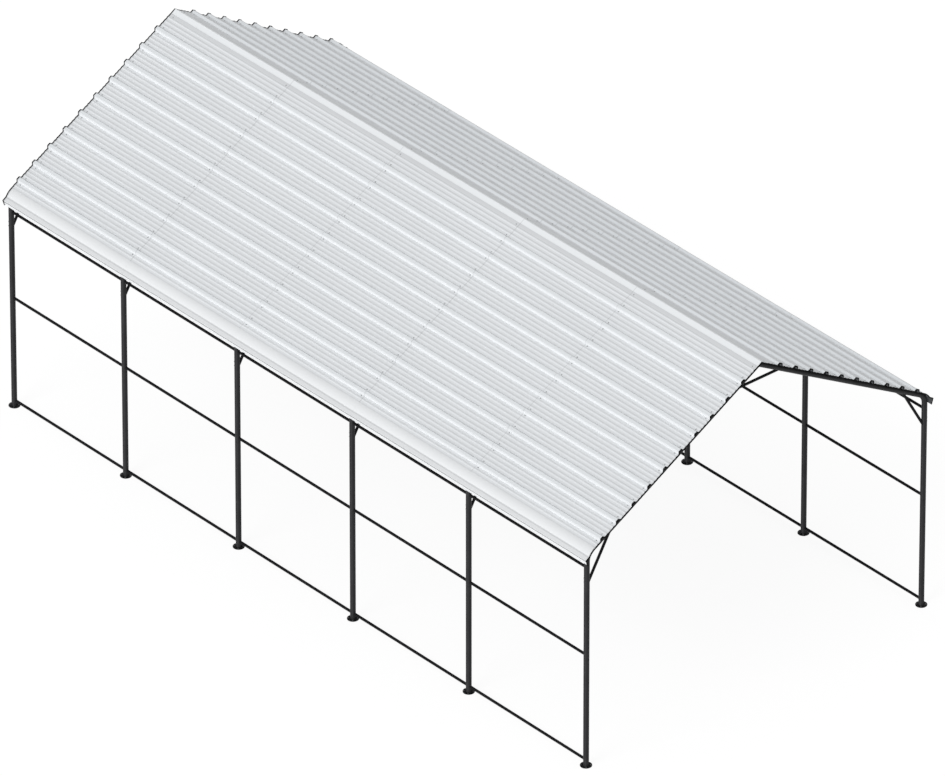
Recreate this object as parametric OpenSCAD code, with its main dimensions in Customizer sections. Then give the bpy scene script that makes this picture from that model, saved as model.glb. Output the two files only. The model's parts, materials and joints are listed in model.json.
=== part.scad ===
// Open-sided carport: six round-tube portal frames under a ribbed steel roof.
// Millimetres. The origin is on the ground under the middle; X runs across, Y along the ridge, Z up.

/* [Frame] */
// Distance between neighbouring portal frames
bay = 1500; // [1300:10:1700]
// Distance between the post axes of one frame
span = 3790; // [3400:10:4200]
// Roof pitch in degrees
pitch = 30; // [26:1:34]
// Height at which the post axis and the rafter axis meet
corner_z = 2100; // [1900:10:2400]
// Height of the joint between the lower and the upper post
joint_z = 1065; // [800:5:1300]

/* [Tubes] */
// Outside diameter of posts, elbows and rafters
tube_d = 50; // [48:1:60]
// Wall of posts, elbows and rafters
tube_wall = 2; // [1.5:0.1:3]
// Outside diameter of rails, braces and ties
rail_d = 25; // [20:1:30]
// Wall of rails, braces and ties
rail_wall = 1.5; // [1:0.1:2]
// Bend radius of the elbow, on its axis
bend_r = 120; // [100:1:140]
// Narrow neck between the elbow's bend and the next tube
neck_len = 2; // [1:0.5:6]
// Depth of that neck below the tube's surface
neck_step = 0.4; // [0.3:0.05:0.6]
// Length of the neck inside the bend
neck_seat = 3; // [2:0.5:6]
// Length of the elbow's spigots
corner_spigot = 225; // [120:5:250]
// Length of the upper post's swaged end
joint_spigot = 80; // [50:5:150]
// Height of the narrow ring above the post joint
joint_neck = 8; // [4:1:14]
// Depth of that ring below the tube's surface
joint_step = 1.2; // [0.6:0.1:1.6]

/* [Feet] */
// Diameter of the foot disc
foot_d = 104; // [100:1:140]
// Thickness of the foot disc
foot_t = 6; // [4:0.5:10]
// Height of the stub that stands inside the post
stub_z = 120; // [80:5:200]
// Diameter of the anchor holes
anchor_hole_d = 10; // [8:0.5:12]
// Anchor holes in each foot
anchor_holes = 4; // [3:1:6]
// Distance of the anchor holes' axes from the edge of the disc
anchor_inset = 12; // [11:0.5:14]

/* [Rails and bracing] */
// Height of the bottom rail's axis above the ground
bottom_rail_z = 58; // [40:1:150]
// Height of the mid rail's axis above the post joint
mid_rail_rise = 38; // [25:1:120]
// Depth of the eave rail's axis below the elbow
eave_rail_drop = 60; // [30:1:150]
// Distance of each knee brace end from the corner, along post and rafter
brace_reach = 306; // [290:1:400]
// Depth of the collar tie below the point where the rafter axes meet
tie_drop = 147; // [120:1:250]

/* [Roof sheet] */
// Sheet thickness
sheet_t = 0.5; // [0.4:0.05:0.8]
// Spacing of the ribs down the slope
rib_pitch = 200; // [180:1:220]
// Distance of the first rib from the ridge
first_rib = 215; // [205:1:240]
// Height of a rib
rib_h = 25; // [18:1:32]
// Width of a rib at its foot
rib_base = 50; // [44:1:60]
// Width of a rib at its top
rib_top = 22; // [16:1:28]
// Stiffening swages in each pan
swages = 3; // [1:1:3]
// Spacing of the swages
swage_pitch = 40; // [34:1:46]
// Height of a swage
swage_h = 2.5; // [1.5:0.1:4]
// Width of a swage at its foot
swage_base = 22; // [16:1:24]
// Width of a swage at its top
swage_top = 6; // [3:1:10]
// Flat edge beside the rib where two sheets lap
side_flat = 8; // [5:1:14]
// Length of the lap between sheets at a frame
end_lap = 60; // [50:1:100]
// Reach of the roof past the axis of each end frame
overhang = 50; // [40:1:80]

/* [Ridge and eave] */
// Gap between the two slopes at the ridge, under the cap
ridge_open = 12; // [8:1:20]
// Width of the cap's flank, down the slope from the rafter peak
cap_reach = 20; // [16:1:36]
// Width of the cap's foot on the sheet
cap_foot = 10; // [8:1:14]
// Extra steepness of the cap's flanks, in degrees
cap_lift = 4; // [3:1:10]
// Length of the flashing under the lowest sheet
flashing_leaf = 70; // [50:1:90]
// Distance of the lowest sheet's edge from the start of the bend
sheet_stop = 8; // [4:1:20]
// Angle above level at which the flashing leaves its curve, in degrees
curve_end = 27; // [20:1:35]
// Outward run of the drip edge
drip_run = 35; // [28:1:56]
// Fall of the drip edge
drip_fall = 22; // [18:1:36]
// Depth of the returned hem
hem_fall = 50; // [36:1:56]
// Clearance between the hem and the post
hem_clear = 3; // [2:0.5:6]

/* [Edge seals] */
// Width of the seal's lip on the sheet ends
seal_lip = 6.5; // [2:0.5:10]
// Thickness of the seal in front of the sheet ends
seal_nose = 4; // [3:0.5:8]
// Thickness of the lip
seal_wall = 1; // [0.8:0.1:2]

/* [Fits] */
// Gap left between a piece and its seat
seat_gap = 0.3; // [0.2:0.05:0.5]

/* [Hidden] */
$fn = 64;
// Bays along the length, each with its own roof sheets
bays = 5;
// Flat steps in the flashing's curve
curve_steps = 12;
tube_colour = [0.10, 0.10, 0.11];
rail_colour = [0.13, 0.13, 0.14];
foot_colour = [0.08, 0.08, 0.09];
sheet_colour = [0.88, 0.89, 0.90];
trim_colour = [0.94, 0.95, 0.96];
seal_colour = [0.05, 0.05, 0.05];

// Order in which the roof pieces lie on one another; neighbours in a run alternate between two layers
flashing_layer = 0;
lower_layer = 2;
upper_layer = 4;
cap_layer = 6;

tube_r = tube_d / 2;
tube_bore_r = tube_r - tube_wall;
spigot_r = tube_bore_r - seat_gap;
spigot_bore_r = spigot_r - tube_wall;
half_span = span / 2;
apex_z = corner_z + half_span * tan(pitch);
slope_len = half_span / cos(pitch);
bend_angle = 90 - pitch;
bend_tangent = bend_r * tan(bend_angle / 2);
bend_z = corner_z - bend_tangent;
bend_x = half_span - bend_r;
upper_post_top = bend_z - neck_len - seat_gap;
rafter_end = slope_len - bend_tangent - neck_len - seat_gap;

anchor_pcd = foot_d - 2 * anchor_inset;

mid_rail_z = joint_z + mid_rail_rise;
eave_rail_z = bend_z - eave_rail_drop;
brace_angle = bend_angle / 2;
brace_len = 2 * brace_reach * cos(brace_angle);
tie_half = tie_drop / tan(pitch);
mitre_box = 4 * tube_d;

flat_end = slope_len - bend_tangent;
sheet_end = flat_end - sheet_stop;
ribs = floor((sheet_end - first_rib - rib_base / 2) / rib_pitch) + 1;
lap_rib = floor((ribs - 1) / 2);
lap_half = rib_base / 2 + side_flat;
ridge_start = (ridge_open / 2 - tube_r * sin(pitch)) / cos(pitch);
cap_end = cap_reach + cap_foot;
seal_seat = layer_low(cap_layer + 2);
seal_depth = seal_nose + seat_gap + seal_lip;

// Place along the ridge of a frame, counted from the front
function frame_y(i) = (i - bays / 2) * bay;

// Front and back ends of the roof pieces of a bay, with their laps
function front_y(i) = frame_y(i) - (i == 0 ? overhang : end_lap / 2);
function back_y(i) = frame_y(i + 1) + (i == bays - 1 ? overhang : end_lap / 2);

// Point in the XZ plane from the distance down the slope and the height over the rafter's top
function roof_point(p) = [
    p[0] * cos(pitch) + (tube_r + p[1]) * sin(pitch),
    apex_z - p[0] * sin(pitch) + (tube_r + p[1]) * cos(pitch)
];
function roof_points(path) = [for (p = path) roof_point(p)];

// Mitred offset of an open path to its left, and the closed outline of a bent strip
function unit(v) = v / norm(v);
function left_of(v) = [-v[1], v[0]];
function side_normal(path, i) = left_of(unit(path[i + 1] - path[i]));
function mitre(a, b) = (a + b) * 2 / ((a + b) * (a + b));
function offset_point(path, i, d) =
    let (before = side_normal(path, max(i - 1, 0)))
    let (after = side_normal(path, min(i, len(path) - 2)))
    path[i] + d * mitre(before, after);
function offset_path(path, d) = [for (i = [0:len(path) - 1]) offset_point(path, i, d)];
function reversed(list) = [for (i = [len(list) - 1:-1:0]) list[i]];
function strip(path, low) = concat(offset_path(path, low), reversed(offset_path(path, low + sheet_t)));
function layer_low(layer) = seat_gap + layer * (sheet_t + seat_gap);

// Sheet profile: trapezoid ribs with shallow swages in the pans between them
function rib_s(k) = first_rib + k * rib_pitch;
function bump(c, base, top, h) = [[c - base / 2, 0], [c - top / 2, h], [c + top / 2, h], [c + base / 2, 0]];
function swage_s(k, j) = rib_s(k) - rib_pitch / 2 + (j - (swages - 1) / 2) * swage_pitch;
function pan_swages(k, low, high) = [
    for (j = [0:swages - 1])
        let (c = swage_s(k, j))
        if (c - swage_base / 2 > low && c + swage_base / 2 < high)
            each bump(c, swage_base, swage_top, swage_h)
];
function sheet_path(first, last, start, end, low, high) = concat(
    [[start, 0]],
    [for (k = [first:last + 1]) each concat(
        pan_swages(k, low, high),
        k <= last ? bump(rib_s(k), rib_base, rib_top, rib_h) : []
    )],
    [[end, 0]]
);
function upper_path() =
    sheet_path(0, lap_rib, ridge_start, rib_s(lap_rib) + lap_half, cap_end, rib_s(lap_rib));
function lower_path() =
    sheet_path(lap_rib, ribs - 1, rib_s(lap_rib) - lap_half, sheet_end, rib_s(lap_rib) + lap_half, sheet_end);

// Flashing profile: leaf under the sheet, curve over the elbow, drip edge and returned hem
function curve_point(a) = [bend_x, bend_z] + (bend_r + tube_r) * [cos(a), sin(a)];
function curve_angle(i) = bend_angle + (curve_end - bend_angle) * i / curve_steps;
function drip_point() = curve_point(curve_end) + [drip_run, -drip_fall];
function hem_point() = [half_span + tube_r + hem_clear, drip_point()[1] - hem_fall];
function flashing_path() = concat(
    [roof_point([flat_end - flashing_leaf, 0])],
    [for (i = [0:curve_steps]) curve_point(curve_angle(i))],
    [drip_point(), hem_point()]
);

// Cap profile, from its left foot over the ridge to its right foot
function flip(p) = [-p[0], p[1]];
function cap_knee() = roof_point([cap_reach, 0]);
function cap_toe() = roof_point([cap_end, 0]);
function cap_peak() = [0, cap_knee()[1] + cap_knee()[0] * tan(pitch + cap_lift)];
function cap_path() = [flip(cap_toe()), flip(cap_knee()), cap_peak(), cap_knee(), cap_toe()];

// Seal profile, from the cap's left knee over the ridge and every rib to the hem or past it;
// the seal itself starts at the ridge
function seal_path(past) = concat(
    [flip(cap_knee()), cap_peak()],
    roof_points(sheet_path(0, ribs - 1, cap_reach, flat_end, cap_end, sheet_end)),
    [for (i = [1:curve_steps]) curve_point(curve_angle(i))],
    [drip_point(), hem_point() + past * unit(hem_point() - drip_point())]
);
function from_ridge(path) = [for (i = [1:len(path) - 1]) path[i]];
function seal_side(d) = from_ridge(offset_path(seal_path(0), d));
function seal_outline() = concat(seal_side(0), reversed(seal_side(seal_seat + seal_wall)));
function slot_side(d) = offset_path(seal_path(seal_lip), d);
function slot_outline() = concat(slot_side(-seal_wall), reversed(slot_side(seal_seat)));

// Right side as drawn, or its mirror image on the left
module on_left() {
    mirror([1, 0, 0]) children();
}

module at_frames() {
    for (i = [0:bays]) translate([0, frame_y(i), 0]) children();
}

module at_posts() {
    at_frames() translate([half_span, 0, 0]) children();
}

// Frame of reference of a rafter: Z runs down the slope from the peak of the rafter axes
module down_slope() {
    translate([0, 0, apex_z]) rotate([0, 90 + pitch, 0]) children();
}

module along_bay(i) {
    translate([0, back_y(i), 0]) rotate([90, 0, 0]) linear_extrude(back_y(i) - front_y(i)) children();
}

module tube(d, wall, length) {
    rotate_extrude() translate([d / 2 - wall, 0]) square([wall, length]);
}

// Tube with a narrow ring and a swaged end below it that slides into the next tube
module swaged_tube(length, spigot) {
    rotate_extrude() polygon([
        [tube_bore_r, length],
        [tube_r, length],
        [tube_r, joint_neck],
        [tube_r - joint_step, joint_neck],
        [tube_r - joint_step, 0],
        [spigot_r, 0],
        [spigot_r, -spigot],
        [spigot_bore_r, -spigot],
        [spigot_bore_r, joint_neck + tube_wall],
        [tube_bore_r, joint_neck + tube_wall]
    ]);
}

// Room that a post or a rafter takes out of the tubes that butt against it
module post_room() {
    translate([half_span, 0, 0]) cylinder(d = tube_d + 2 * seat_gap, h = corner_z);
}

module rafter_room() {
    down_slope() cylinder(d = tube_d + 2 * seat_gap, h = slope_len);
}

module foot_plate() {
    difference() {
        union() {
            cylinder(d = foot_d, h = foot_t);
            cylinder(r = spigot_r, h = stub_z);
        }
        translate([0, 0, foot_t]) cylinder(r = spigot_bore_r, h = stub_z);
        for (k = [0:anchor_holes - 1])
            rotate([0, 0, (k + 1 / 2) * 360 / anchor_holes])
                translate([anchor_pcd / 2, 0, -foot_t])
                    cylinder(d = anchor_hole_d, h = 3 * foot_t);
    }
}

module lower_post() {
    translate([0, 0, foot_t + seat_gap]) tube(tube_d, tube_wall, joint_z - foot_t - 2 * seat_gap);
}

module upper_post() {
    translate([0, 0, joint_z]) swaged_tube(upper_post_top - joint_z, joint_spigot);
}

// Neck and spigot at one end of the elbow, with the neck let into the bend
module elbow_end() {
    rotate_extrude() polygon([
        [spigot_bore_r, neck_seat],
        [tube_r - neck_step, neck_seat],
        [tube_r - neck_step, -neck_len],
        [spigot_r, -neck_len],
        [spigot_r, -neck_len - corner_spigot],
        [spigot_bore_r, -neck_len - corner_spigot]
    ]);
}

module elbow() {
    translate([bend_x, 0, bend_z]) {
        rotate([90, 0, 0]) rotate_extrude(angle = bend_angle) translate([bend_r, 0]) difference() {
            circle(r = tube_r);
            circle(r = tube_bore_r);
        }
        translate([bend_r, 0, 0]) elbow_end();
        rotate([0, -bend_angle, 0]) translate([bend_r, 0, 0]) mirror([0, 0, 1]) elbow_end();
    }
}

module rafter() {
    difference() {
        down_slope() translate([0, 0, -tube_r]) tube(tube_d, tube_wall, rafter_end + tube_r);
        translate([seat_gap / 2 - mitre_box, -mitre_box / 2, apex_z - mitre_box / 2]) cube(mitre_box);
    }
}

module knee_brace() {
    difference() {
        translate([half_span, 0, corner_z - brace_reach])
            rotate([0, -brace_angle, 0])
                tube(rail_d, rail_wall, brace_len);
        post_room();
        rafter_room();
    }
}

module collar_tie() {
    difference() {
        translate([-tie_half, 0, apex_z - tie_drop]) rotate([0, 90, 0]) tube(rail_d, rail_wall, 2 * tie_half);
        rafter_room();
        on_left() rafter_room();
    }
}

// Rails of one height on one side, each coped to the posts at its ends
module rails(z) {
    for (i = [0:bays - 1]) difference() {
        translate([half_span, frame_y(i), z]) rotate([-90, 0, 0]) tube(rail_d, rail_wall, bay);
        translate([0, frame_y(i), 0]) post_room();
        translate([0, frame_y(i + 1), 0]) post_room();
    }
}

module roof_sheet(path, layer, bay_number) {
    along_bay(bay_number - 1) polygon(strip(roof_points(path), layer_low(layer + bay_number % 2)));
}

module roof_run(path, layer) {
    for (i = [1:bays]) along_bay(i - 1) polygon(strip(path, layer_low(layer + i % 2)));
}

// Seal on the back ends of the right slope's sheets
module end_seal() {
    translate([seat_gap / 2, back_y(bays - 1) + seat_gap + seal_nose, 0]) rotate([90, 0, 0]) difference() {
        linear_extrude(seal_depth) polygon(seal_outline());
        translate([0, 0, seal_nose]) linear_extrude(seal_depth) polygon(slot_outline());
    }
}

module lower_sheet(bay_number) {
    color(sheet_colour) roof_sheet(lower_path(), lower_layer, bay_number);
}

module upper_sheet(bay_number) {
    color(sheet_colour) roof_sheet(upper_path(), upper_layer, bay_number);
}

module foot_plates_right() { color(foot_colour) at_posts() foot_plate(); }
module foot_plates_left() { on_left() foot_plates_right(); }
module lower_posts_right() { color(tube_colour) at_posts() lower_post(); }
module lower_posts_left() { on_left() lower_posts_right(); }
module upper_posts_right() { color(tube_colour) at_posts() upper_post(); }
module upper_posts_left() { on_left() upper_posts_right(); }
module elbows_right() { color(tube_colour) at_frames() elbow(); }
module elbows_left() { color(tube_colour) at_frames() rotate([0, 0, 180]) elbow(); }
module rafters_right() { color(tube_colour) at_frames() rafter(); }
module rafters_left() { on_left() rafters_right(); }
module knee_braces_right() { color(rail_colour) at_frames() knee_brace(); }
module knee_braces_left() { on_left() knee_braces_right(); }
module collar_ties() { color(rail_colour) at_frames() collar_tie(); }
module bottom_rails_right() { color(rail_colour) rails(bottom_rail_z); }
module bottom_rails_left() { on_left() bottom_rails_right(); }
module mid_rails_right() { color(rail_colour) rails(mid_rail_z); }
module mid_rails_left() { on_left() mid_rails_right(); }
module eave_rails_right() { color(rail_colour) rails(eave_rail_z); }
module eave_rails_left() { on_left() eave_rails_right(); }
module eave_flashings_right() { color(trim_colour) roof_run(flashing_path(), flashing_layer); }
module eave_flashings_left() { on_left() eave_flashings_right(); }
module ridge_caps() { color(trim_colour) roof_run(cap_path(), cap_layer); }
module edge_seals_right() {
    color(seal_colour) {
        end_seal();
        mirror([0, 1, 0]) end_seal();
    }
}
module edge_seals_left() { on_left() edge_seals_right(); }

foot_plates_left();
foot_plates_right();
lower_posts_left();
lower_posts_right();
upper_posts_left();
upper_posts_right();
elbows_left();
elbows_right();
rafters_left();
rafters_right();
knee_braces_left();
knee_braces_right();
collar_ties();
bottom_rails_left();
bottom_rails_right();
mid_rails_left();
mid_rails_right();
eave_rails_left();
eave_rails_right();
eave_flashings_left();
eave_flashings_right();
on_left() lower_sheet(1);  // lower_sheet_left_1
on_left() lower_sheet(2);  // lower_sheet_left_2
on_left() lower_sheet(3);  // lower_sheet_left_3
on_left() lower_sheet(4);  // lower_sheet_left_4
on_left() lower_sheet(5);  // lower_sheet_left_5
lower_sheet(1);  // lower_sheet_right_1
lower_sheet(2);  // lower_sheet_right_2
lower_sheet(3);  // lower_sheet_right_3
lower_sheet(4);  // lower_sheet_right_4
lower_sheet(5);  // lower_sheet_right_5
on_left() upper_sheet(1);  // upper_sheet_left_1
on_left() upper_sheet(2);  // upper_sheet_left_2
on_left() upper_sheet(3);  // upper_sheet_left_3
on_left() upper_sheet(4);  // upper_sheet_left_4
on_left() upper_sheet(5);  // upper_sheet_left_5
upper_sheet(1);  // upper_sheet_right_1
upper_sheet(2);  // upper_sheet_right_2
upper_sheet(3);  // upper_sheet_right_3
upper_sheet(4);  // upper_sheet_right_4
upper_sheet(5);  // upper_sheet_right_5
ridge_caps();
edge_seals_left();
edge_seals_right();
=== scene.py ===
"""Looks of the open-sided carport: materials, fasteners, light and camera."""
import json
import math

import bpy
from mathutils import Matrix, Vector


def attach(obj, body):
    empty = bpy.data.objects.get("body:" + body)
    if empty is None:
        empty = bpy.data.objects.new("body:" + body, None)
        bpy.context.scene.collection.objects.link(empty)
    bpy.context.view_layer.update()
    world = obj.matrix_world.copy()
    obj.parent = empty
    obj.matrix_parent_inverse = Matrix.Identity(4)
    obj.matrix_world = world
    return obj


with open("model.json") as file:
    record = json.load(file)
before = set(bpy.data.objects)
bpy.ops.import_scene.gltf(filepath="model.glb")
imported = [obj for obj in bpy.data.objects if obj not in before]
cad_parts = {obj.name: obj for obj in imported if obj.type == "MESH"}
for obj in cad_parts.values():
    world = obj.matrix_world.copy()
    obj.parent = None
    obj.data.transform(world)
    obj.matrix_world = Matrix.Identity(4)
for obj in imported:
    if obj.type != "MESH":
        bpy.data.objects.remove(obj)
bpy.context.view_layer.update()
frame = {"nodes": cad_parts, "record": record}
nodes = frame["nodes"]

# Sizes that the fasteners and the painted shade share with the part, in metres
BAY, BAYS = 1.5, 5
SPAN = 3.79
HALF_SPAN = SPAN / 2
PITCH = math.radians(30)
CORNER_Z = 2.1
APEX_Z = CORNER_Z + HALF_SPAN * math.tan(PITCH)
TUBE_R = 0.025
FRAMES = [(i - BAYS / 2) * BAY for i in range(BAYS + 1)]
FIRST_RIB, RIB_PITCH, RIBS, LAP_RIB = 0.215, 0.2, 10, 4
RIB_LINES = [FIRST_RIB + k * RIB_PITCH for k in range(RIBS)]
SWAGE_PITCH = 0.04
SHEET_T, SEAT_GAP = 0.0005, 0.0003
END_LAP = 0.06
FOOT_T, ANCHOR_PCD = 0.006, 0.08
# Topmost layer of the lower and of the upper roof sheets, counted from the rafters
LOWER_TOP, UPPER_TOP = 3, 5
SIDES = ((-1, "left"), (1, "right"))
ALONG_RIDGE = (0, 1, 0)

# Painted shade: its colour, and how much of it lies on swages and as a shadow line along laps
PAINTED_SHADE = (0.12, 0.12, 0.125)
SWAGE_SHADE, LAP_SHADOW = 0.11, 0.16
# Distance from a rib's middle to a stripe of painted shade, which comes again at every swage pitch
SHADE_SHIFT = 0.013
# Distance down the slope and half width of the painted shade on the sheet just below the ridge cap
CAP_SHADE = (0.045, 0.015)
# Place along the roof and strength of the painted shadow line at the edge of each lap, which changes sides
# at every frame
LAP_EDGES = [(y + (END_LAP if i % 2 else -END_LAP) / 2, LAP_SHADOW) for i, y in enumerate(FRAMES)][1:-1]
# Height and strength of the painted shade lines along the folds of the eave flashing
EAVE_FOLDS = ((2.0968, 0.2), (2.064, 0.85))
# Half widths of the painted shade lines along laps and folds
LAP_LINE, FOLD_LINE = 0.004, 0.005

# Painted highlight on rib faces turned left to the lamps: the heights over the rafter's top between which
# it sets in
RIB_RISE = (0.008, 0.012)
# X of the normals of the faces turned left to the lamps that get the painted highlight, as middle and reach
LIT_FACE = (-0.45, 0.25)
# A face of a sheet looks in when its outward share is below this
INWARD = -0.1
# Grey back coat of the sheets, kept dark as painted shade inside the open rib ends and behind the hems
BACK_COAT_AND_SHADE = ((0.085, 0.09, 0.095), (0.115, 0.12, 0.125))
SHEET_SHINE, ZINC_METALLIC = 0.15, 0.7
# Part of a noise over which two colours blend, and the noise's stretch along the ridge on rolled sheet
NOISE_MIDDLE = (0.3, 0.7)
ROLLED = (1, 0.15, 1)

# Chamfers of washers and heads, as shares of the radius at the top and of the height at the side
WASHER_EDGE, WASHER_SIDES = (0.93, 0.7), 20
HEAD_EDGE, HEAD_SIDES = (0.86, 0.8), 6
# Roofing screws: distance from a rib's middle, and distance down the slope of those below the ridge cap
SCREW_SIDE, RIDGE_SCREW = 0.036, 0.055
SCREW_LINES = [RIDGE_SCREW] + [s + offset for s in RIB_LINES for offset in (-SCREW_SIDE, SCREW_SIDE)]
# Screws up to this far below the lap rib's middle still bear on the upper sheet
UPPER_REACH = 0.05
# Anchor bolts in a foot, and the angle of the first in degrees
ANCHORS, FIRST_ANCHOR = 4, 45
# Heights of the bolts through the elbow's spigot, and how far their washers sink into the round tube
ELBOW_BOLT_Z = (1.836, 1.876)
WASHER_SINK = 0.0008

# Floor: half its width, its grey for the light and where it is seen, and its glow where it is seen
FLOOR_HALF = 60
FLOOR_LIT, FLOOR_SEEN, FLOOR_GLOW = 0.8, 0.16, 0.9
# Strength of the sky for the light and where it is seen
SKY_LIGHT, SKY_SEEN = 0.57, 1.0
# Camera, with lens and sensor in millimetres
AZIMUTH, ELEVATION = math.radians(-40.941), math.radians(32.119)
CAMERA_AT = (-83.569, -96.449, 81.289)
LENS, SENSOR, CLIP_END = 672.07, 36, 600


# Materials

def new_material(name):
    mat = bpy.data.materials.new(name)
    mat.use_nodes = True
    tree = mat.node_tree
    tree.nodes.clear()
    out = tree.nodes.new("ShaderNodeOutputMaterial")
    shader = tree.nodes.new("ShaderNodeBsdfPrincipled")
    tree.links.new(shader.outputs["BSDF"], out.inputs["Surface"])
    return mat, tree, shader


def noise(tree, scale, detail, stretch=(1, 1, 1)):
    """Object-space noise, stretched along the axes that are scaled down."""
    coord = tree.nodes.new("ShaderNodeTexCoord")
    mapping = tree.nodes.new("ShaderNodeMapping")
    mapping.inputs["Scale"].default_value = stretch
    tex = tree.nodes.new("ShaderNodeTexNoise")
    tex.inputs["Scale"].default_value = scale
    tex.inputs["Detail"].default_value = detail
    tree.links.new(coord.outputs["Object"], mapping.inputs["Vector"])
    tree.links.new(mapping.outputs["Vector"], tex.inputs["Vector"])
    return tex.outputs["Fac"]


def ramp(tree, factor, low, high):
    """Colour ramp between two colours over the middle of a noise."""
    node = tree.nodes.new("ShaderNodeValToRGB")
    for element, position, colour in zip(node.color_ramp.elements, NOISE_MIDDLE, (low, high)):
        element.position = position
        element.color = (*colour, 1)
    tree.links.new(factor, node.inputs["Fac"])
    return node.outputs["Color"]


def spread(tree, factor, low, high, start=0.0, end=1.0):
    """Value between two limits mapped to another range."""
    node = tree.nodes.new("ShaderNodeMapRange")
    node.inputs["From Min"].default_value = start
    node.inputs["From Max"].default_value = end
    node.inputs["To Min"].default_value = low
    node.inputs["To Max"].default_value = high
    tree.links.new(factor, node.inputs["Value"])
    return node.outputs["Result"]


def uneven(tree, shader, grain, rough, swing):
    """Roughness that follows a noise, by a swing to either side."""
    tree.links.new(spread(tree, grain, rough - swing, rough + swing), shader.inputs["Roughness"])


def bump(tree, shader, height, strength, distance):
    node = tree.nodes.new("ShaderNodeBump")
    node.inputs["Strength"].default_value = strength
    node.inputs["Distance"].default_value = distance
    tree.links.new(height, node.inputs["Height"])
    tree.links.new(node.outputs["Normal"], shader.inputs["Normal"])


def math_node(tree, operation, *inputs):
    """Result of a maths node on sockets and plain numbers."""
    node = tree.nodes.new("ShaderNodeMath")
    node.operation = operation
    for socket, value in zip(node.inputs, inputs):
        if isinstance(value, (int, float)):
            socket.default_value = value
        else:
            tree.links.new(value, socket)
    return node.outputs["Value"]


def split_xyz(tree, vector):
    node = tree.nodes.new("ShaderNodeSeparateXYZ")
    tree.links.new(vector, node.inputs["Vector"])
    return node.outputs


def object_place(tree):
    """X, Y and Z of the shaded point in the object's own frame."""
    return split_xyz(tree, tree.nodes.new("ShaderNodeTexCoord").outputs["Object"])


def face_normal(tree):
    """X, Y and Z of the true normal of the shaded face."""
    return split_xyz(tree, tree.nodes.new("ShaderNodeNewGeometry").outputs["True Normal"])


def mixed(tree, factor, first, second):
    """Colour between two colours, each a socket or plain numbers."""
    node = tree.nodes.new("ShaderNodeMix")
    node.data_type = "RGBA"
    tree.links.new(factor, node.inputs["Factor"])
    for socket, value in ((node.inputs["A"], first), (node.inputs["B"], second)):
        if isinstance(value, tuple):
            socket.default_value = (*value, 1)
        else:
            tree.links.new(value, socket)
    return node.outputs["Result"]


def powder_coat(name, dark, light, rough, shine):
    """Charcoal powder coat: slight mottling and a fine orange-peel surface."""
    mat, tree, shader = new_material(name)
    mottling = ramp(tree, noise(tree, scale=6, detail=3), dark, light)
    tree.links.new(mottling, shader.inputs["Base Color"])
    uneven(tree, shader, noise(tree, scale=40, detail=2), rough, swing=0.06)
    shader.inputs["Specular IOR Level"].default_value = shine
    bump(tree, shader, noise(tree, scale=900, detail=2), strength=0.15, distance=0.0004)
    return mat


def shaded_lines(tree, colour, axis, lines, half_width):
    """Colour with thin painted shade lines along folds and lap edges, each a place on an axis and a
    strength.
    """
    along = object_place(tree)[axis]
    share = None
    for place, strength in lines:
        band = math_node(tree, "COMPARE", along, place, half_width)
        line = math_node(tree, "MULTIPLY", band, strength)
        share = line if share is None else math_node(tree, "MAXIMUM", share, line)
    return mixed(tree, share, colour, PAINTED_SHADE)


def inner_face(tree):
    """1 on the faces of a sheet that look in or down towards the frame, 0 on those outside."""
    normal = face_normal(tree)
    side = math_node(tree, "SIGN", object_place(tree)["X"])
    outward = math_node(tree, "MULTIPLY_ADD", normal["X"], side, normal["Z"])
    return math_node(tree, "LESS_THAN", outward, INWARD)


def shade_and_highlight(tree, paint, highlight_colour):
    """Paint with stripes of painted shade along every swage and a band of it below the ridge cap, and a
    painted highlight where the ribs face the lamps on the left.
    """
    place = object_place(tree)
    out = math_node(tree, "ABSOLUTE", place["X"])
    drop = math_node(tree, "SUBTRACT", APEX_Z, place["Z"])
    fall = math_node(tree, "MULTIPLY", drop, math.sin(PITCH))
    down = math_node(tree, "MULTIPLY_ADD", out, math.cos(PITCH), fall)
    per_metre = 2 * math.pi / SWAGE_PITCH
    phase = math_node(tree, "MULTIPLY_ADD", down, per_metre, -per_metre * (FIRST_RIB + SHADE_SHIFT))
    # Painted shade: stripes that darken the sheet along every swage
    stripes = spread(tree, math_node(tree, "COSINE", phase), 0, SWAGE_SHADE)
    # Painted shade in a band just below the foot of the ridge cap
    cap_band = math_node(tree, "COMPARE", down, *CAP_SHADE)
    cap_line = math_node(tree, "MULTIPLY", cap_band, SWAGE_SHADE)
    shade_share = math_node(tree, "MAXIMUM", stripes, cap_line)

    # Painted highlight: lighter paint high on the rib faces turned left to the lamps
    lean = math_node(tree, "MULTIPLY_ADD", drop, -math.cos(PITCH), -TUBE_R)
    rise = math_node(tree, "MULTIPLY_ADD", out, math.sin(PITCH), lean)
    lit_side = math_node(tree, "COMPARE", face_normal(tree)["X"], *LIT_FACE)
    lit_share = math_node(tree, "MULTIPLY", spread(tree, rise, 0, 1, *RIB_RISE), lit_side)
    return mixed(tree, lit_share, mixed(tree, shade_share, paint, PAINTED_SHADE), highlight_colour)


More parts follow.
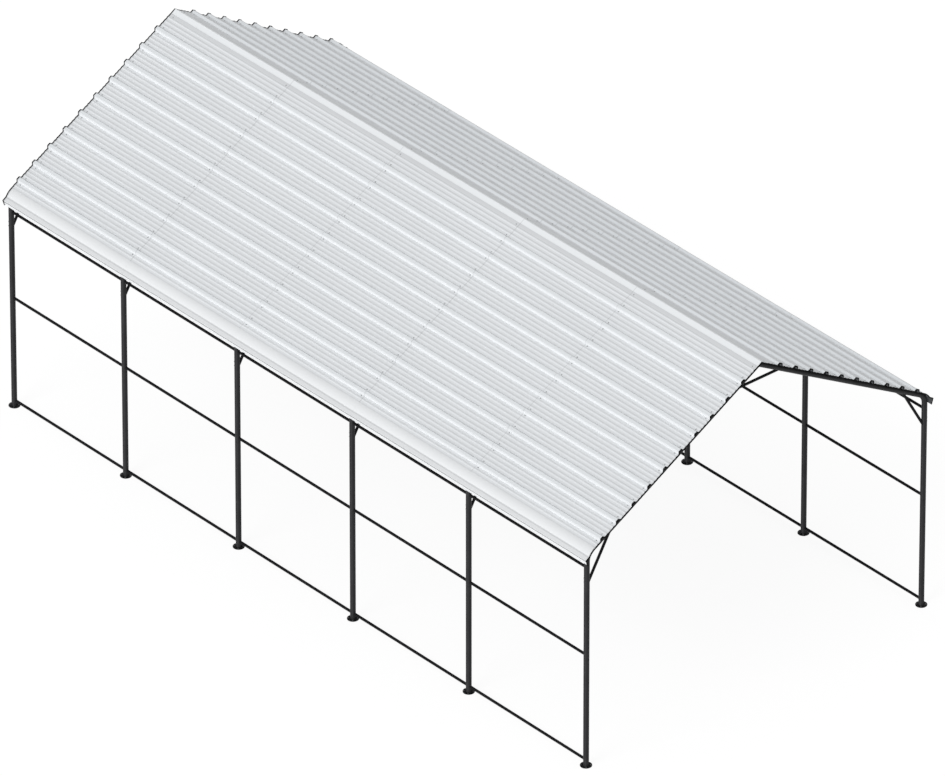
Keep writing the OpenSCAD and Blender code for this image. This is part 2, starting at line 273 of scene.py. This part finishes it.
def painted_sheet(name, dark, light, rough, axis, lines, half_width, highlight_colour=None):
    """White coil-coated steel with a grey back coat kept dark as painted shade: faint roll lines along the
    ridge, painted shade lines along laps and folds.
    """
    mat, tree, shader = new_material(name)
    paint = ramp(tree, noise(tree, scale=5, detail=4, stretch=ROLLED), dark, light)
    # Painted shade on swages and below the ridge cap, painted highlight on rib faces turned to the lamps
    if highlight_colour:
        paint = shade_and_highlight(tree, paint, highlight_colour)
    front = shaded_lines(tree, paint, axis, lines, half_width)
    # Back coat, kept dark as painted shade inside the rib ends and behind the hems
    back = ramp(tree, noise(tree, scale=8, detail=3, stretch=ROLLED), *BACK_COAT_AND_SHADE)
    tree.links.new(mixed(tree, inner_face(tree), front, back), shader.inputs["Base Color"])
    uneven(tree, shader, noise(tree, scale=30, detail=2, stretch=(1, 0.05, 1)), rough, swing=0.05)
    shader.inputs["Specular IOR Level"].default_value = SHEET_SHINE
    waves = noise(tree, scale=12, detail=3, stretch=(1, 0.2, 1))
    bump(tree, shader, waves, strength=0.06, distance=0.002)
    return mat


def zinc(name, dark, light, rough):
    """Zinc-plated steel with a fine spangle."""
    mat, tree, shader = new_material(name)
    spangle = ramp(tree, noise(tree, scale=250, detail=2), dark, light)
    tree.links.new(spangle, shader.inputs["Base Color"])
    uneven(tree, shader, noise(tree, scale=400, detail=2), rough, swing=0.08)
    shader.inputs["Metallic"].default_value = ZINC_METALLIC
    return mat


TUBE = powder_coat("tube_powder_coat", (0.022, 0.022, 0.023), (0.030, 0.030, 0.032), rough=0.42, shine=0.08)
RAIL = powder_coat("rail_powder_coat", (0.009, 0.009, 0.010), (0.013, 0.013, 0.014), rough=0.5, shine=0.04)
FOOT = powder_coat("foot_powder_coat", (0.010, 0.010, 0.011), (0.015, 0.015, 0.016), rough=0.5, shine=0.06)
SEAL = powder_coat("seal_rubber", (0.006, 0.006, 0.006), (0.010, 0.010, 0.010), rough=0.8, shine=0.04)
# The sheet's last colour is the painted highlight on rib faces turned to the lamps
SHEET = painted_sheet(
    "sheet_white", (0.755, 0.775, 0.795), (0.78, 0.80, 0.82), rough=0.55,
    axis="Y", lines=LAP_EDGES, half_width=LAP_LINE, highlight_colour=(0.80, 0.828, 0.852))
TRIM = painted_sheet(
    "trim_white", (0.865, 0.89, 0.912), (0.88, 0.905, 0.927), rough=0.5,
    axis="Y", lines=LAP_EDGES, half_width=LAP_LINE)
FLASHING = painted_sheet(
    "flashing_white", (0.78, 0.795, 0.81), (0.80, 0.815, 0.83), rough=0.5,
    axis="Z", lines=EAVE_FOLDS, half_width=FOLD_LINE)
SCREW = zinc("screw_zinc", (0.36, 0.37, 0.38), (0.48, 0.49, 0.50), rough=0.5)
BOLT = zinc("bolt_dark_zinc", (0.05, 0.05, 0.052), (0.09, 0.09, 0.094), rough=0.45)

SLOT_LOOKS = {"tube": TUBE, "rail": RAIL, "foot": FOOT, "sheet": SHEET, "trim": TRIM, "seal": SEAL}
for part in frame["record"]["subparts"]:
    mesh = nodes[part["node"]].data
    mesh.materials.clear()
    flashing = part["node"].startswith("eave_flashings")
    mesh.materials.append(FLASHING if flashing else SLOT_LOOKS[part["material_slot"]])


# Shapes

def turned(profile, sides):
    """Rings of a turned shape from (radius, height) pairs, closed at both ends."""
    verts, faces = [], []
    for r, h in profile:
        for k in range(sides):
            a = 2 * math.pi * k / sides
            verts.append(Vector((r * math.cos(a), r * math.sin(a), h)))
    for i in range(len(profile) - 1):
        for k in range(sides):
            n = (k + 1) % sides
            faces.append((i * sides + k, i * sides + n, (i + 1) * sides + n, (i + 1) * sides + k))
    faces.append(tuple(reversed(range(sides))))
    faces.append(tuple((len(profile) - 1) * sides + k for k in range(sides)))
    return verts, faces


def chamfered(radius, base, height, edge, sides):
    """Disc or prism with a chamfer round its top."""
    top_share, side_share = edge
    profile = [(radius, base), (radius, base + height * side_share), (radius * top_share, base + height)]
    return turned(profile, sides)


def joined(shapes):
    """Several (verts, faces) lists as one."""
    verts, faces = [], []
    for v, f in shapes:
        base = len(verts)
        verts += v
        faces += [tuple(base + i for i in face) for face in f]
    return verts, faces


def placed(shape, matrix):
    return [matrix @ v for v in shape[0]], shape[1]


def hex_fastener(washer_r, washer_h, head_r, head_h):
    """Washer with a chamfered hexagon head on it, standing on the XY plane."""
    washer = chamfered(washer_r, 0, washer_h, WASHER_EDGE, WASHER_SIDES)
    head = chamfered(head_r, washer_h, head_h, HEAD_EDGE, HEAD_SIDES)
    return joined([washer, head])


def basis(normal, along):
    """Rotation that takes Z to a normal and Y to a direction along the surface."""
    z = Vector(normal).normalized()
    x = Vector(along).cross(z).normalized()
    return Matrix((x, z.cross(x), z)).transposed().to_4x4()


def many(name, shape, places, material):
    """One mesh object that rides on the part, with a copy of a shape at every place."""
    verts, faces = joined([placed(shape, place) for place in places])
    mesh = bpy.data.meshes.new(name)
    mesh.from_pydata([tuple(v) for v in verts], [], faces)
    mesh.update()
    mesh.materials.append(material)
    obj = bpy.data.objects.new(name, mesh)
    bpy.context.collection.objects.link(obj)
    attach(obj, "root")


def roof_point(side, s, h, y):
    """Point at a distance down the slope and a height over the rafter's top."""
    h += TUBE_R
    x = s * math.cos(PITCH) + h * math.sin(PITCH)
    z = APEX_Z - s * math.sin(PITCH) + h * math.cos(PITCH)
    return Vector((side * x, y, z))


def layer_low(layer):
    """Height of a layer's underside over the rafter's top."""
    return SEAT_GAP + layer * (SHEET_T + SEAT_GAP)


# Roofing screws: one on each side of every rib and one below the ridge cap, on every frame line

screw_shape = hex_fastener(washer_r=0.0065, washer_h=0.0012, head_r=0.0042, head_h=0.0036)
for side, word in SIDES:
    places = []
    rotation = basis((side * math.sin(PITCH), 0, math.cos(PITCH)), ALONG_RIDGE)
    for y in FRAMES:
        for s in SCREW_LINES:
            upper = s < RIB_LINES[LAP_RIB] + UPPER_REACH
            top = layer_low(UPPER_TOP if upper else LOWER_TOP) + SHEET_T
            places.append(Matrix.Translation(roof_point(side, s, top, y)) @ rotation)
    many("roof_screws_" + word, screw_shape, places, SCREW)

# Anchor bolts in the foot discs

anchor_shape = hex_fastener(washer_r=0.0082, washer_h=0.0016, head_r=0.0072, head_h=0.0055)
for side, word in SIDES:
    places = []
    for y in FRAMES:
        for k in range(ANCHORS):
            a = math.radians(FIRST_ANCHOR + 360 / ANCHORS * k)
            x = side * HALF_SPAN + ANCHOR_PCD / 2 * math.cos(a)
            at = Vector((x, y + ANCHOR_PCD / 2 * math.sin(a), FOOT_T))
            places.append(Matrix.Translation(at) @ Matrix.Rotation(a, 4, "Z"))
    many("anchor_bolts_" + word, anchor_shape, places, BOLT)

# Through bolts that hold the elbow's spigot in the post: heads outside, nuts inside

head_shape = hex_fastener(washer_r=0.0085, washer_h=0.0016, head_r=0.0072, head_h=0.0055)
for side, word in SIDES:
    places = []
    for y in FRAMES:
        for z in ELBOW_BOLT_Z:
            for out in (side, -side):
                at = Vector((side * HALF_SPAN + out * (TUBE_R - WASHER_SINK), y, z))
                places.append(Matrix.Translation(at) @ basis((out, 0, 0), ALONG_RIDGE))
    many("post_bolts_" + word, head_shape, places, BOLT)


# Stage, light and camera

def background_share(tree):
    """1 for rays that see the floor or sky as background, 0 for light that falls on the object."""
    path = tree.nodes.new("ShaderNodeLightPath").outputs
    mirrored = math_node(tree, "MAXIMUM", path["Is Glossy Ray"], path["Is Transmission Ray"])
    return math_node(tree, "MAXIMUM", path["Is Camera Ray"], mirrored)


def matt_grey(tree, level):
    node = tree.nodes.new("ShaderNodeBsdfDiffuse")
    node.inputs["Color"].default_value = (level, level, level, 1)
    return node.outputs["BSDF"]


def floor_paint():
    """Pale grey for the light that falls on the object, near white where the floor is seen."""
    mat = bpy.data.materials.new("floor_white")
    mat.use_nodes = True
    tree = mat.node_tree
    tree.nodes.clear()
    out = tree.nodes.new("ShaderNodeOutputMaterial")
    glow = tree.nodes.new("ShaderNodeEmission")
    glow.inputs["Strength"].default_value = FLOOR_GLOW
    white = tree.nodes.new("ShaderNodeAddShader")
    pick = tree.nodes.new("ShaderNodeMixShader")
    tree.links.new(matt_grey(tree, FLOOR_SEEN), white.inputs[0])
    tree.links.new(glow.outputs["Emission"], white.inputs[1])
    tree.links.new(background_share(tree), pick.inputs["Fac"])
    tree.links.new(matt_grey(tree, FLOOR_LIT), pick.inputs[1])
    tree.links.new(white.outputs["Shader"], pick.inputs[2])
    tree.links.new(pick.outputs["Shader"], out.inputs["Surface"])
    return mat


def studio_sky():
    """White sky, dimmer for the light than where it is seen."""
    world = bpy.data.worlds.new("studio")
    world.use_nodes = True
    tree = world.node_tree
    tree.nodes.clear()
    out = tree.nodes.new("ShaderNodeOutputWorld")
    sky = tree.nodes.new("ShaderNodeBackground")
    sky.inputs["Color"].default_value = (1, 1, 1, 1)
    level = spread(tree, background_share(tree), SKY_LIGHT, SKY_SEEN)
    tree.links.new(level, sky.inputs["Strength"])
    tree.links.new(sky.outputs["Background"], out.inputs["Surface"])
    return world


def sun(name, energy, toward, angle, shadow):
    """Sun lamp that stands in a direction, with its angle in degrees."""
    lamp = bpy.data.lights.new(name, "SUN")
    lamp.energy = energy
    lamp.angle = math.radians(angle)
    lamp.use_shadow = shadow
    obj = bpy.data.objects.new(name, lamp)
    obj.rotation_euler = Vector(toward).to_track_quat("Z", "Y").to_euler()
    bpy.context.collection.objects.link(obj)


floor_mesh = bpy.data.meshes.new("floor")
corner_signs = ((-1, -1), (1, -1), (1, 1), (-1, 1))
floor_corners = [(x * FLOOR_HALF, y * FLOOR_HALF, 0) for x, y in corner_signs]
floor_mesh.from_pydata(floor_corners, [], [(0, 1, 2, 3)])
floor_mesh.materials.append(floor_paint())
floor = bpy.data.objects.new("floor", floor_mesh)
bpy.context.collection.objects.link(floor)

bpy.context.scene.world = studio_sky()
# A high soft lamp, and a low shadowless one that picks out every face turned to the left
sun("key", energy=0.95, toward=(-0.76, -0.10, 0.64), angle=30, shadow=True)
sun("low_fill", energy=1.38, toward=(-0.89, -0.24, -0.40), angle=20, shadow=False)

cam = bpy.data.cameras.new("camera")
cam.lens = LENS
cam.sensor_width = SENSOR
cam.clip_end = CLIP_END
camera = bpy.data.objects.new("camera", cam)
camera.location = CAMERA_AT
camera.rotation_euler = (math.pi / 2 - ELEVATION, 0, AZIMUTH)
bpy.context.collection.objects.link(camera)
bpy.context.scene.camera = camera
bpy.context.scene.view_settings.view_transform = "Standard"
